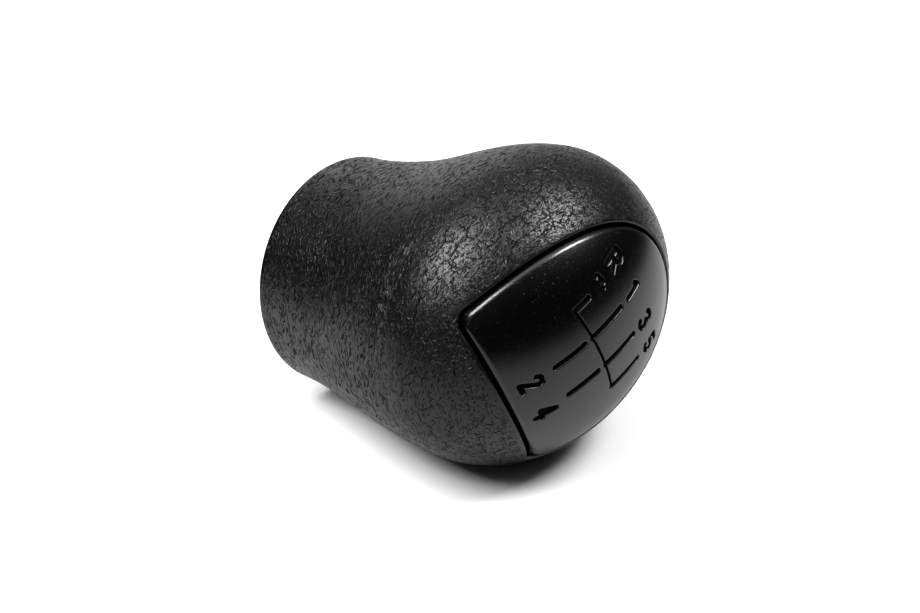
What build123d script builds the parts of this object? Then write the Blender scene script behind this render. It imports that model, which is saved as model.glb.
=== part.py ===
from build123d import *
import os
from math import cos, radians, sin

# Grip: a round rim, a flaring neck and an ellipsoid head that leans back a little
rim_radius = 20.1
rim_bevel = 0.6
head_height = 38.0
head_half_width = 25.4
head_half_depth = 28.6
head_forward = 4.0
head_lean = 5.5
dome_rise = 21.8
width_flare_start = 12.7
depth_flare_start = 0.0
forward_flare_start = 1.0

# Sections that the grip is lofted through, and how far up the dome they go, in degrees
neck_steps = 6
dome_steps = 5
dome_reach = 70.0

# Lever sleeve
lever_radius = 6.0
lever_depth = 31.0
sleeve_wall = 2.5
sleeve_end_wall = 2.5
flange_width = 2.2
flange_thickness = 1.6
key_width = 2.4
key_height = 1.0
press_clearance = 0.05
end_clearance = 0.3

# Hollow neck
skirt_wall = 3.0
skirt_draft = 1.5
socket_wall = 2.6
web_thickness = 3.0
rib_thickness = 1.8
rib_setback = 6.0

# Pattern insert and the recess that it drops into
insert_half_width = 17.5
insert_half_length = 25.0
insert_centre = -2.75
insert_back = -15.0
back_edge_radius = 60.0
insert_corner_radius = 1.6
insert_thickness = 2.2
insert_edge_radius = 1.4
insert_gap = 0.45
recess_lip_bevel = 0.3
seat_clearance = 0.1

# Pocket under the insert, with the legs that snap into its side walls
pocket_half_width = 12.5
pocket_length = 20.0
pocket_centre = -0.2
pocket_corner_radius = 3.0
leg_width = 5.0
leg_thickness = 1.6
leg_spread = 10.0
leg_clearance = 0.25
catch_rise = 10.0
hook_reach = 0.9
hook_height = 2.4
hook_land = 0.6

# Shift pattern: columns across the knob, line ends along it
inner_column = 3.07
outer_column = 8.63
neutral_line = 0.34
front_end = 7.45
fifth_end = 7.0
reverse_end = 3.5
back_end = -7.1
back_line_gap = 1.6
gear_line_width = 0.95
neutral_line_width = 0.45
engraving_depth = 0.5

sleeve_radius = lever_radius + sleeve_wall
sleeve_top = lever_depth + sleeve_end_wall
socket_inner_radius = sleeve_radius + press_clearance
socket_outer_radius = socket_inner_radius + socket_wall
pocket_floor = sleeve_top + end_clearance + web_thickness
catch_height = head_height + catch_rise
above_dome = 2 * dome_rise


def flare(height, start):
    """Share of a widening that is reached at a height, from 0 at its start to 1 at the head."""
    run = min(max((height - start) / (head_height - start), 0), 1)
    return run * run * (3 - 2 * run)


def section_plane(height):
    """Plane of a neck section, which leans back and moves forward towards the head."""
    lean = radians(head_lean * height / head_height)
    forward = head_forward * flare(height, forward_flare_start)
    return Plane((0, forward, height), x_dir=(1, 0, 0), z_dir=(0, -sin(lean), cos(lean)))


head_plane = section_plane(head_height)


def head_ellipsoid(depth):
    """Ellipsoid of the head, a depth below the dome's surface."""
    with BuildPart() as ellipsoid:
        Sphere(1)
        scale(by=(head_half_width - depth, head_half_depth - depth, dome_rise - depth))
    return ellipsoid.part.moved(head_plane.location)


dome = head_ellipsoid(0)
insert_underside = head_ellipsoid(insert_thickness)
recess_seat = head_ellipsoid(insert_thickness + seat_clearance)
leg_roots = head_ellipsoid(insert_thickness / 2)
engraving_floor = head_ellipsoid(engraving_depth)


def insert_outline(gap):
    """Outline of the insert, or with a gap that of its recess: an ellipse cut off by a shallow arc."""
    with BuildSketch() as outline:
        with Locations((0, insert_centre)):
            Ellipse(insert_half_width + gap, insert_half_length + gap)
        with Locations((0, insert_back + back_edge_radius)):
            Circle(back_edge_radius + gap, mode=Mode.INTERSECT)
        back_corners = outline.vertices().sort_by(Axis.Y)[:2]
        fillet(back_corners, radius=insert_corner_radius + gap)
    return outline.sketch


insert_plan = insert_outline(0)
recess_plan = insert_outline(insert_gap)

# Space that the insert fills, down to its seat
with BuildPart() as recess:
    with BuildSketch(Plane.XY.offset(head_height)):
        add(recess_plan)
    extrude(amount=above_dome)
    add(recess_seat, mode=Mode.SUBTRACT)

# Space under the insert, with the windows that its hooks snap into
leg_outer = pocket_half_width - leg_clearance
hook_foot = catch_height - hook_height
window_half_width = pocket_half_width + hook_reach
leg_stations = [pocket_centre - leg_spread / 2, pocket_centre + leg_spread / 2]
with BuildPart() as pocket:
    with BuildSketch(Plane.XY.offset(pocket_floor)):
        with Locations((0, pocket_centre)):
            RectangleRounded(2 * pocket_half_width, pocket_length, pocket_corner_radius)
    extrude(amount=above_dome)
    with BuildSketch(Plane.XY.offset(hook_foot - leg_clearance)):
        with Locations(*[(0, station) for station in leg_stations]):
            Rectangle(2 * window_half_width, leg_width + 2 * leg_clearance)
    extrude(amount=hook_height + leg_clearance + seat_clearance)

# Hollow of the neck round the socket tube, crossed by four ribs
with BuildPart() as neck_hollow:
    with BuildSketch():
        Circle(rim_radius - skirt_wall)
    extrude(amount=sleeve_top, taper=skirt_draft)
    with BuildSketch(Plane.XY.offset(flange_thickness)):
        Circle(socket_outer_radius)
    extrude(amount=sleeve_top, mode=Mode.SUBTRACT)
    with BuildSketch(Plane.XY.offset(rib_setback)):
        with PolarLocations(0, 2, start_angle=45, angular_range=180):
            Rectangle(2 * rim_radius, rib_thickness)
    extrude(amount=sleeve_top, mode=Mode.SUBTRACT)

# Bore of the socket tube, with its two keyways
with BuildPart() as socket_bore:
    with BuildSketch(Plane.XY.offset(flange_thickness)):
        Circle(socket_inner_radius)
        Rectangle(2 * (socket_inner_radius + key_height), key_width + 2 * press_clearance)
    extrude(amount=sleeve_top + end_clearance - flange_thickness)

with BuildPart() as grip_body:
    for step in range(neck_steps):
        height = head_height * step / neck_steps
        half_width = rim_radius + (head_half_width - rim_radius) * flare(height, width_flare_start)
        half_depth = rim_radius + (head_half_depth - rim_radius) * flare(height, depth_flare_start)
        with BuildSketch(section_plane(height)):
            Ellipse(half_depth, half_width, rotation=90)
    for step in range(dome_steps + 1):
        angle = radians(dome_reach * step / dome_steps)
        with BuildSketch(head_plane.offset(dome_rise * sin(angle))):
            Ellipse(head_half_depth * cos(angle), head_half_width * cos(angle), rotation=90)
    loft()
    chamfer(grip_body.edges().group_by(Axis.Z)[0], length=rim_bevel)
    add(recess.part, mode=Mode.SUBTRACT)
    skin = grip_body.faces().sort_by(SortBy.AREA)[-1]
    lip = [edge for edge in skin.edges() if edge.bounding_box().min.Z > head_height]
    chamfer(lip, length=recess_lip_bevel)
    add(pocket.part, mode=Mode.SUBTRACT)
    add(neck_hollow.part, mode=Mode.SUBTRACT)
    add(socket_bore.part, mode=Mode.SUBTRACT)

with BuildPart() as lever_sleeve:
    with BuildSketch():
        Circle(sleeve_radius)
        Rectangle(2 * (sleeve_radius + key_height), key_width)
    extrude(amount=sleeve_top)
    with BuildSketch():
        Circle(sleeve_radius + flange_width)
    extrude(amount=flange_thickness)
    with BuildSketch():
        Circle(lever_radius)
    extrude(amount=lever_depth, mode=Mode.SUBTRACT)

# Snap legs of the insert, cut off inside its shell
with BuildPart() as legs:
    for station in leg_stations:
        with BuildSketch(Plane.XZ.offset(-station)):
            with BuildLine():
                Polyline(
                    (leg_outer - leg_thickness, hook_foot),
                    (leg_outer, hook_foot),
                    (leg_outer + hook_reach, catch_height - hook_land),
                    (leg_outer + hook_reach, catch_height),
                    (leg_outer, catch_height),
                    (leg_outer, catch_height + above_dome),
                    (leg_outer - leg_thickness, catch_height + above_dome),
                    close=True,
                )
            make_face()
        extrude(amount=leg_width / 2, both=True)
    mirror(about=Plane.YZ)
    add(leg_roots, mode=Mode.INTERSECT)

# Engraved lines: each gear's column and the neutral line across them
gear_lines = [
    (-outer_column, neutral_line, reverse_end),
    (-inner_column, neutral_line, front_end),
    (inner_column, neutral_line, front_end),
    (outer_column, neutral_line, fifth_end),
    (-inner_column, back_end, neutral_line - back_line_gap),
    (inner_column, back_end, neutral_line - back_line_gap),
]
with BuildPart() as engraving:
    with BuildSketch(Plane.XY.offset(head_height)):
        with Locations((0, neutral_line)):
            Rectangle(2 * outer_column, neutral_line_width)
        for column, line_start, line_end in gear_lines:
            with Locations((column, (line_start + line_end) / 2)):
                SlotOverall(line_end - line_start + gear_line_width, gear_line_width, rotation=90)
    extrude(amount=above_dome)
    add(engraving_floor, mode=Mode.SUBTRACT)

with BuildPart() as pattern_insert:
    with BuildSketch(Plane.XY.offset(head_height)):
        add(insert_plan)
    extrude(amount=above_dome)
    add(dome, mode=Mode.INTERSECT)
    add(insert_underside, mode=Mode.SUBTRACT)
    top_face = pattern_insert.faces().sort_by(Axis.Z)[-1]
    fillet(top_face.edges(), radius=insert_edge_radius)
    add(legs.part)
    add(engraving.part, mode=Mode.SUBTRACT)

grip_body.part.label = "grip_body"
pattern_insert.part.label = "pattern_insert"
lever_sleeve.part.label = "lever_sleeve"

os.makedirs("parts", exist_ok=True)
for piece in (grip_body.part, pattern_insert.part, lever_sleeve.part):
    export_step(piece, f"parts/{piece.label}.step")
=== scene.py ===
"""Looks of a gear shift knob: a grained grip, an insert with an engraved shift pattern, and a lever sleeve.

Sizes are in millimetres in the knob's own frame, and turn into metres where a mesh is made.
"""

import logging
import math
from collections.abc import Sequence
from dataclasses import dataclass, field
from enum import Enum

import bmesh
import bpy
import numpy as np
from mathutils import Euler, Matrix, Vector
from mathutils.geometry import delaunay_2d_cdt


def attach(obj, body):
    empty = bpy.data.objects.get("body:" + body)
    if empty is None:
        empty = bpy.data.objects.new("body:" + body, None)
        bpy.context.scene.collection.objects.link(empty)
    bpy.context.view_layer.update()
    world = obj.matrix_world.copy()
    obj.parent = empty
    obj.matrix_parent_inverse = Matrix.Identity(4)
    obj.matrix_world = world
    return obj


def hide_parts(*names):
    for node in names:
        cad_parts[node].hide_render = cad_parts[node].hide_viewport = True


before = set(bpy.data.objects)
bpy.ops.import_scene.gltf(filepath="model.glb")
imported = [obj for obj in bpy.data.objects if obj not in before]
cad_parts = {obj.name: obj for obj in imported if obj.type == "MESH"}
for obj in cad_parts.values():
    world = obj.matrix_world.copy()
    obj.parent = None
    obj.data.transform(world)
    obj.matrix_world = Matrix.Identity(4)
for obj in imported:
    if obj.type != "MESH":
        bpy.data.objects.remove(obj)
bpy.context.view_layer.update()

LOG = logging.getLogger("gear_knob")
MM = 0.001
NOISE_ROUGHNESS = 0.55
HALVINGS = 50
TINY = 1e-9
Array = np.ndarray
Plan = tuple[float, float]


class CadNode(Enum):
    """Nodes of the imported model."""

    GRIP = "grip_body"
    INSERT = "pattern_insert"
    SLEEVE = "lever_sleeve"


class Slot(Enum):
    """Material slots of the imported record."""

    GRIP = "grained_grip"
    INSERT = "satin_insert"
    SLEEVE = "sleeve_plastic"


class Layer(Enum):
    """Attributes that the finishes read."""

    GRAIN = "grain_share"
    PLACE = "grain_place"
    ENGRAVED = "engraved_share"


class Fuse(Enum):
    """Ways to join a tool's solid with a piece."""

    ADD = "UNION"
    CUT = "DIFFERENCE"


class Wire:
    """A node's output that takes part in Python arithmetic."""

    def __init__(self, graph: "Graph", socket: bpy.types.NodeSocket) -> None:
        """Keeps the output and the graph that it belongs to."""
        self.graph = graph
        self.socket = socket

    def __add__(self, other: "Wire | float") -> "Wire":
        """Sum."""
        return self.graph.math("ADD", self, other)

    def __sub__(self, other: "Wire | float") -> "Wire":
        """Difference."""
        return self.graph.math("SUBTRACT", self, other)

    def __mul__(self, other: "Wire | float") -> "Wire":
        """Product."""
        return self.graph.math("MULTIPLY", self, other)

    def __truediv__(self, other: "Wire | float") -> "Wire":
        """Quotient."""
        return self.graph.math("DIVIDE", self, other)

    def __rsub__(self, other: float) -> "Wire":
        """A number less this output."""
        return self.graph.math("SUBTRACT", other, self)

    __radd__ = __add__
    __rmul__ = __mul__

    def smooth(self, start: float, end: float) -> "Wire":
        """Smooth step from 0 at start to 1 at end.

        Args:
            start: Value where the step starts, which may be the higher of the two.
            end: Value where it ends.

        Returns:
            The step.
        """
        low, high = min(start, end), max(start, end)
        ends = (0.0, 1.0) if start < end else (1.0, 0.0)
        return self.graph.add(
            "ShaderNodeMapRange",
            {"interpolation_type": "SMOOTHSTEP"},
            {"Value": self, "From Min": low, "From Max": high, "To Min": ends[0], "To Max": ends[1]},
        )


class Graph:
    """A node tree that is written as Python expressions."""

    def __init__(self, tree: bpy.types.NodeTree) -> None:
        """Takes over an empty node tree."""
        self.tree = tree
        self.tree.nodes.clear()

    def add(
        self,
        kind: str,
        settings: dict[str, object] | None = None,
        sockets: dict[str | int, object] | None = None,
        output: str | int = 0,
    ) -> Wire:
        """Adds a node of any kind.

        Args:
            kind: The node's type.
            settings: The node's own settings, which are set first.
            sockets: Values or wires for its inputs, by name or place.
            output: Name or place of the output that is wanted.

        Returns:
            That output, or None for a node without outputs.
        """
        node = self.tree.nodes.new(kind)
        for name, value in (settings or {}).items():
            setattr(node, name, value)
        for name, value in (sockets or {}).items():
            if isinstance(value, Wire):
                self.tree.links.new(value.socket, node.inputs[name])
            else:
                node.inputs[name].default_value = value
        return Wire(self, node.outputs[output]) if node.outputs else None

    def math(self, operation: str, *values: Wire | float) -> Wire:
        """Adds a Math node on two or three values."""
        return self.add("ShaderNodeMath", {"operation": operation}, dict(enumerate(values)))

    def vector(self, operation: str, *values: Wire | Sequence[float], output: str | int = 0) -> Wire:
        """Adds a Vector Math node."""
        return self.add("ShaderNodeVectorMath", {"operation": operation}, dict(enumerate(values)), output)

    def scaled(self, place: Wire, scale: Wire | float) -> Wire:
        """Scales a vector by one number."""
        return self.add("ShaderNodeVectorMath", {"operation": "SCALE"}, {"Vector": place, "Scale": scale})

    def split(self, place: Wire) -> tuple[Wire, Wire, Wire]:
        """The three parts of a vector."""
        first = self.add("ShaderNodeSeparateXYZ", None, {0: place})
        return tuple(Wire(self, out) for out in first.socket.node.outputs)

    def joined(self, x: Wire | float, y: Wire | float, z: Wire | float) -> Wire:
        """A vector from its three parts."""
        return self.add("ShaderNodeCombineXYZ", None, {0: x, 1: y, 2: z})

    def noise(
        self, place: Wire, scale: float, detail: float = 2.0, output: int = 0, flat: bool = False
    ) -> Wire:
        """Adds a Noise texture.

        Args:
            place: Where the texture is read.
            scale: Number of its waves in one unit.
            detail: Number of finer layers of waves.
            output: 0 for a value around one half, 1 for a colour.
            flat: Whether the texture lies in a plane.

        Returns:
            The value or the colour.
        """
        settings = {"noise_dimensions": "2D" if flat else "3D"}
        sockets = {"Vector": place, "Scale": scale, "Detail": detail, "Roughness": NOISE_ROUGHNESS}
        return self.add("ShaderNodeTexNoise", settings, sockets, output)

    def voronoi(self, place: Wire, feature: str, output: str = "Distance", flat: bool = False) -> Wire:
        """Adds a Voronoi texture with cells one unit large."""
        settings = {"voronoi_dimensions": "2D" if flat else "3D", "feature": feature}
        return self.add("ShaderNodeTexVoronoi", settings, {"Vector": place, "Scale": 1.0}, output)

    def colour(self, share: Wire, low: Sequence[float] | Wire, high: Sequence[float] | Wire) -> Wire:
        """Mixes two colours."""
        return self.add("ShaderNodeMix", {"data_type": "RGBA"}, {0: share, 6: low, 7: high}, 2)

    def layer(self, layer: Layer, output: str = "Fac") -> Wire:
        """Reads an attribute of the piece."""
        return self.add("ShaderNodeAttribute", {"attribute_name": layer.value}, None, output)

    def bump(self, height: Wire) -> Wire:
        """Adds a Bump node on a height in millimetres."""
        sockets = {"Distance": MM, "Strength": 1.0, "Height": height}
        return self.add("ShaderNodeBump", None, sockets, "Normal")

    def surface(self, sockets: dict[str, object]) -> Wire:
        """Adds a Principled surface with these inputs."""
        return self.add("ShaderNodeBsdfPrincipled", None, sockets)

    def end(self, surface: Wire) -> None:
        """Ends a material's graph in a surface."""
        self.add("ShaderNodeOutputMaterial", None, {"Surface": surface})


def eased(run: float | Array) -> float | Array:
    """Smooth step from 0 to 1."""
    return run * run * (3 - 2 * run)


def turns(columns: int) -> Array:
    """Angles of the columns round a ring."""
    return np.arange(columns) * 2 * math.pi / columns


@dataclass(frozen=True)
class KnobForm:
    """Outer form of the grip: a round rim, a flaring neck and an ellipsoid head that leans back."""

    rim_radius: float = 20.1
    head_height: float = 38.0
    head_half_width: float = 25.4
    head_half_depth: float = 28.6
    head_forward: float = 4.0
    head_lean: float = math.radians(5.5)
    dome_rise: float = 21.8
    width_flare_start: float = 12.7
    depth_flare_start: float = 0.0
    forward_flare_start: float = 1.0
    mean_radius: float = 24.0

    def flare(self, height: float | Array, start: float) -> float | Array:
        """Share of a widening that is reached at a height."""
        return eased(np.clip((height - start) / (self.head_height - start), 0.0, 1.0))

    def neck_ring(self, height: float, turn: Array, inset: float = 0.0) -> Array:
        """One section of the neck.

        Args:
            height: Height of the section's middle.
            turn: Angles round the section, from the right side.
            inset: How far the section lies inside the neck.

        Returns:
            A point for each angle.
        """
        rim, wide, deep = self.rim_radius, self.head_half_width, self.head_half_depth
        half_width = rim + (wide - rim) * self.flare(height, self.width_flare_start) - inset
        half_depth = rim + (deep - rim) * self.flare(height, self.depth_flare_start) - inset
        lean = self.head_lean * height / self.head_height
        forward = self.head_forward * self.flare(height, self.forward_flare_start)
        along = half_depth * np.sin(turn)
        across = half_width * np.cos(turn)
        return np.stack([across, forward + along * math.cos(lean), height + along * math.sin(lean)], -1)

    def dome_point(self, across: Array, along: Array) -> Array:
        """Points of the dome from their places in the unit disc of its widest section.

        Args:
            across: Places across the disc.
            along: Places along the disc.

        Returns:
            A point for each place.
        """
        rise = self.dome_rise * np.sqrt(np.clip(1 - across**2 - along**2, 0, 1))
        deep = self.head_half_depth * along
        cosine, sine = math.cos(self.head_lean), math.sin(self.head_lean)
        back = self.head_forward + deep * cosine - rise * sine
        height = self.head_height + deep * sine + rise * cosine
        return np.stack([self.head_half_width * across, back, height], -1)

    def dome_height(self, x: Array, y: Array, depth: float = 0.0) -> Array:
        """Height of the dome over a place in plan.

        Args:
            x: Places across the knob.
            y: Places along the knob.
            depth: How far the wanted surface lies below the dome.

        Returns:
            The heights.
        """
        wide, deep, rise = (
            size - depth for size in (self.head_half_width, self.head_half_depth, self.dome_rise)
        )
        cosine, sine = math.cos(self.head_lean), math.sin(self.head_lean)
        run = y - self.head_forward
        square = (sine / deep) ** 2 + (cosine / rise) ** 2
        single = 2 * run * sine * cosine * (1 / deep**2 - 1 / rise**2)
        rest = run**2 * ((cosine / deep) ** 2 + (sine / rise) ** 2) + (x / wide) ** 2 - 1
        return self.head_height + (-single + np.sqrt(single**2 - 4 * square * rest)) / (2 * square)

    def disc_place(self, x: Array, y: Array) -> tuple[Array, Array]:
        """Place in the dome's unit disc of the dome's points over a place in plan.

        Args:
            x: Places across the knob.
            y: Places along the knob.

        Returns:
            The places across and along the disc.
        """
        run, rise = y - self.head_forward, self.dome_height(x, y) - self.head_height
        along = run * math.cos(self.head_lean) + rise * math.sin(self.head_lean)
        return x / self.head_half_width, along / self.head_half_depth

    def unrolled(self, points: Array) -> tuple[Array, Array]:
        """Place of points on the unrolled skin.

        Args:
            points: Points of the skin.

        Returns:
            The angle round the knob, with its seam between front and right, and the length from the rim.
        """
        x, y, z = points.T
        run = y - self.head_forward * self.flare(z, self.forward_flare_start)
        turn = np.arctan2(x - run, -x - run)
        lean = self.head_lean * np.clip(z / self.head_height, 0, 1)
        rise = (z - self.head_height) * np.cos(lean) - run * np.sin(lean)
        along = (z - self.head_height) * np.sin(lean) + run * np.cos(lean)
        flat = np.hypot(x / self.head_half_width, along / self.head_half_depth)
        tilt = np.arctan2(np.maximum(rise, 0) / self.dome_rise, flat)
        length = self.head_height + np.minimum(z - self.head_height - run * np.tan(lean), 0)
        return turn, np.where(rise > 0, self.head_height + self.mean_radius * tilt, length)

    def dome_slope(self, x: Array, y: Array, across: Array, along: Array) -> Array:
        """Fall of the dome along a direction in plan.

        Args:
            x: Places across the knob.
            y: Places along the knob.
            across: The direction's part across the knob.
            along: The direction's part along the knob.

        Returns:
            The fall, as an angle.
        """
        step = 0.05
        ahead = self.dome_height(x + step * across, y + step * along)
        behind = self.dome_height(x - step * across, y - step * along)
        return np.arctan((behind - ahead) / (2 * step))


@dataclass(frozen=True)
class InsertOutline:
    """Outline of the insert in plan: an ellipse cut off behind by a shallow arc, with two round corners."""

    half_width: float = 17.5
    half_length: float = 25.0
    centre: float = -2.75
    back: float = -15.0
    back_radius: float = 60.0
    corner_radius: float = 1.6
    middle: float = 3.0

    def distance(self, x: Array, y: Array) -> Array:
        """Signed distance from the outline.

        Args:
            x: Places across the knob.
            y: Places along the knob.

        Returns:
            The distances, below zero inside the outline.
        """
        shares = np.hypot(x / self.half_width, (y - self.centre) / self.half_length)
        steep = np.hypot(x / self.half_width**2, (y - self.centre) / self.half_length**2)
        ellipse = shares * (shares - 1) / np.maximum(steep, TINY) + self.corner_radius
        arc = np.hypot(x, y - self.back - self.back_radius) - self.back_radius + self.corner_radius
        inside = np.minimum(np.maximum(ellipse, arc), 0)
        return inside + np.hypot(np.maximum(ellipse, 0), np.maximum(arc, 0)) - self.corner_radius

    def normal(self, x: Array, y: Array) -> tuple[Array, Array]:
        """Outward direction in plan.

        Args:
            x: Places across the knob.
            y: Places along the knob.

        Returns:
            The direction's parts across and along the knob.
        """
        step = 0.01
        across = self.distance(x + step, y) - self.distance(x - step, y)
        along = self.distance(x, y + step) - self.distance(x, y - step)
        length = np.hypot(across, along)
        return across / length, along / length

    def ring(self, gap: float, turn: Array) -> tuple[Array, Array]:
        """Points at a gap outside the outline, one on each ray from its middle.

        Args:
            gap: The gap.
            turn: Angles of the rays.

        Returns:
            The points' places across and along the knob.
        """
        reach_in, reach_out = np.zeros_like(turn), np.full_like(turn, 2 * self.half_length)
        for _ in range(HALVINGS):
            reach = (reach_in + reach_out) / 2
            outside = self.distance(reach * np.cos(turn), self.middle + reach * np.sin(turn)) > gap
            reach_out = np.where(outside, reach, reach_out)
            reach_in = np.where(outside, reach_in, reach)
        return reach_in * np.cos(turn), self.middle + reach_in * np.sin(turn)


FORM = KnobForm()
OUTLINE = InsertOutline()
INSERT_THICKNESS = 2.2


def rounding(
    start: tuple[Array, Array],
    outward: tuple[Array, Array],
    fall: Array,
    radius: float,
    steps: int,
    side: int,
) -> list[Array]:
    """Rings of a rounding that leaves the dome and turns down into an upright wall.

    Args:
        start: Places across and along the knob where it leaves the dome.
        outward: The outline's outward direction there, across and along the knob.
        fall: The dome's fall along that direction, as an angle.
        radius: The rounding's radius.
        steps: Number of steps round it.
        side: 1 where the wall lies outwards of the start, -1 where it lies inwards.

    Returns:
        The rings, from the dome to the wall.
    """
    begin = np.stack([*start, FORM.dome_height(*start)], -1)
    level = np.stack([*outward, np.zeros(len(fall))], -1)
    upward = np.array([0.0, 0.0, 1.0])
    sine, cosine = np.sin(fall)[:, None], np.cos(fall)[:, None]
    towards = side * (cosine * level - sine * upward)
    raised = sine * level + cosine * upward
    middle = begin - radius * raised
    swings = [(math.pi / 2 - side * fall)[:, None] * step / steps for step in range(steps + 1)]
    return [middle + radius * (raised * np.cos(swing) + towards * np.sin(swing)) for swing in swings]


def closed_skin(rings: Sequence[Array], start: Sequence[float], end: Sequence[float]) -> tuple[Array, list]:
    """Joins rings of equal length into a closed skin with a pole at both ends.

    Args:
        rings: Rings of points, in order.
        start: Pole before the first ring.
        end: Pole after the last ring.

    Returns:
        The points and the faces.
    """
    columns = len(rings[0])
    points = np.concatenate([*rings, [start], [end]])
    here = np.arange(columns)
    after = np.roll(here, -1)
    faces = []
    for ring in range(len(rings) - 1):
        low, high = ring * columns, (ring + 1) * columns
        faces += np.stack([low + here, low + after, high + after, high + here], -1).tolist()
    last = (len(rings) - 1) * columns
    first_pole = len(points) - 2
    faces += [[first_pole, b, a] for a, b in zip(here.tolist(), after.tolist())]
    faces += [[first_pole + 1, last + a, last + b] for a, b in zip(here.tolist(), after.tolist())]
    return points, faces


def new_piece(name: str, points: Array, faces: Sequence) -> bpy.types.Object:
    """Makes an object from points in millimetres, with its faces turned outwards.

    Args:
        name: The object's name.
        points: Its points.
        faces: Its faces, as lists of point numbers.

    Returns:
        The object, in the scene.
    """
    mesh = bpy.data.meshes.new(name)
    mesh.from_pydata((np.asarray(points) * MM).tolist(), [], faces)
    shell = bmesh.new()
    shell.from_mesh(mesh)
    bmesh.ops.recalc_face_normals(shell, faces=shell.faces)
    shell.to_mesh(mesh)
    shell.free()
    piece = bpy.data.objects.new(name, mesh)
    bpy.context.scene.collection.objects.link(piece)
    return piece


def points_of(piece: bpy.types.Object) -> Array:
    """Points of a piece in millimetres.

    Args:
        piece: The piece.

    Returns:
        Its points.
    """
    places = np.zeros(len(piece.data.vertices) * 3, np.float32)
    piece.data.vertices.foreach_get("co", places)
    return places.reshape(-1, 3) / MM


def set_layer(piece: bpy.types.Object, layer: Layer, values: Array) -> None:
    """Writes one number for each point of a piece into a named attribute."""
    attribute = piece.data.attributes.new(layer.value, "FLOAT", "POINT")
    attribute.data.foreach_set("value", np.asarray(values, np.float32))


def set_unrolled(piece: bpy.types.Object) -> None:
    """Writes the place on the unrolled skin for each face corner, so that faces across the seam stay whole.

    Args:
        piece: The grip.
    """
    mesh = piece.data
    turn, length = FORM.unrolled(points_of(piece))
    corners = np.zeros(len(mesh.loops), int)
    mesh.loops.foreach_get("vertex_index", corners)
    starts, counts = np.zeros((2, len(mesh.polygons)), int)
    mesh.polygons.foreach_get("loop_start", starts)
    mesh.polygons.foreach_get("loop_total", counts)
    first = np.repeat(turn[corners[starts]], counts)
    whole = first + (turn[corners] - first + math.pi) % (2 * math.pi) - math.pi
    values = np.stack([FORM.mean_radius * whole, length[corners], np.zeros(len(corners))], -1)
    attribute = mesh.attributes.new(Layer.PLACE.value, "FLOAT_VECTOR", "CORNER")
    attribute.data.foreach_set("vector", values.ravel().astype(np.float32))


def settle(piece: bpy.types.Object) -> None:
    """Turns a piece with its modifiers into a plain mesh.

    Args:
        piece: The piece.
    """
    shown = piece.evaluated_get(bpy.context.evaluated_depsgraph_get())
    mesh = bpy.data.meshes.new_from_object(shown)
    piece.modifiers.clear()
    old, piece.data = piece.data, mesh
    bpy.data.meshes.remove(old)
    mesh.name = piece.name


def fuse(piece: bpy.types.Object, tool: bpy.types.Object, way: Fuse) -> None:
    """Adds a tool's solid to a piece or cuts it away, and deletes the tool.

    Args:
        piece: The piece.
        tool: The tool.
        way: Whether the tool is added or cut away.
    """
    joint = piece.modifiers.new("fuse", "BOOLEAN")
    joint.operation = way.value
    joint.solver = "EXACT"
    joint.object = tool
    settle(piece)
    bpy.data.objects.remove(tool)


def shade_smooth(piece: bpy.types.Object, crease: float) -> None:
    """Shades a piece smooth, apart from edges that turn by more than the crease angle in degrees."""
    piece.data.polygons.foreach_set("use_smooth", np.ones(len(piece.data.polygons), bool))
    piece.data.set_sharp_from_angle(angle=math.radians(crease))


def boxes(name: str, spans: Sequence[tuple[Sequence[float], Sequence[float]]]) -> bpy.types.Object:
    """Makes a tool of separate boxes.

    Args:
        name: The tool's name.
        spans: Lowest and highest corner of each box.

    Returns:
        The tool.
    """
    points, faces = [], []
    sides = [[0, 1, 3, 2], [4, 6, 7, 5], [0, 4, 5, 1], [2, 3, 7, 6], [0, 2, 6, 4], [1, 5, 7, 3]]
    for (x0, y0, z0), (x1, y1, z1) in spans:
        first = len(points)
        points += [[x, y, z] for x in (x0, x1) for y in (y0, y1) for z in (z0, z1)]
        faces += [[first + corner for corner in side] for side in sides]
    return new_piece(name, np.array(points), faces)


def new_tree(name: str, inputs: dict[str, tuple[str, object]]) -> Graph:
    """Starts a Geometry Nodes tree.

    Args:
        name: The tree's name.
        inputs: Socket type and default of each named input.

    Returns:
        The tree, with a geometry input and output.
    """
    tree = bpy.data.node_groups.new(name, "GeometryNodeTree")
    tree.interface.new_socket("Geometry", in_out="INPUT", socket_type="NodeSocketGeometry")
    tree.interface.new_socket("Geometry", in_out="OUTPUT", socket_type="NodeSocketGeometry")
    for label, (kind, default) in inputs.items():
        socket = tree.interface.new_socket(label, in_out="INPUT", socket_type=kind)
        if default is not None:
            socket.default_value = default
    return Graph(tree)


def tree_inputs(graph: Graph) -> dict[str, Wire]:
    """The named inputs of a Geometry Nodes tree."""
    given = graph.add("NodeGroupInput")
    return {out.name: Wire(graph, out) for out in given.socket.node.outputs}


def end_tree(graph: Graph, geometry: Wire, finish: Wire) -> None:
    """Ends a Geometry Nodes tree in a plain mesh with one finish.

    Args:
        graph: The tree.
        geometry: The geometry that it makes.
        finish: The material that it gets.
    """
    real = graph.add("GeometryNodeRealizeInstances", None, {0: geometry})
    dressed = graph.add("GeometryNodeSetMaterial", None, {"Geometry": real, "Material": finish})
    graph.add("NodeGroupOutput", None, {0: dressed})


def run_tree(piece: bpy.types.Object, graph: Graph, values: dict[str, object]) -> None:
    """Runs a Geometry Nodes tree on a piece and keeps the plain mesh.

    Args:
        piece: The piece.
        graph: The tree.
        values: Values for its named inputs.
    """
    modifier = piece.modifiers.new(graph.tree.name, "NODES")
    modifier.node_group = graph.tree
    for item in graph.tree.interface.items_tree:
        if item.in_out == "INPUT" and item.name in values:
            modifier[item.identifier] = values[item.name]
    settle(piece)


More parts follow.
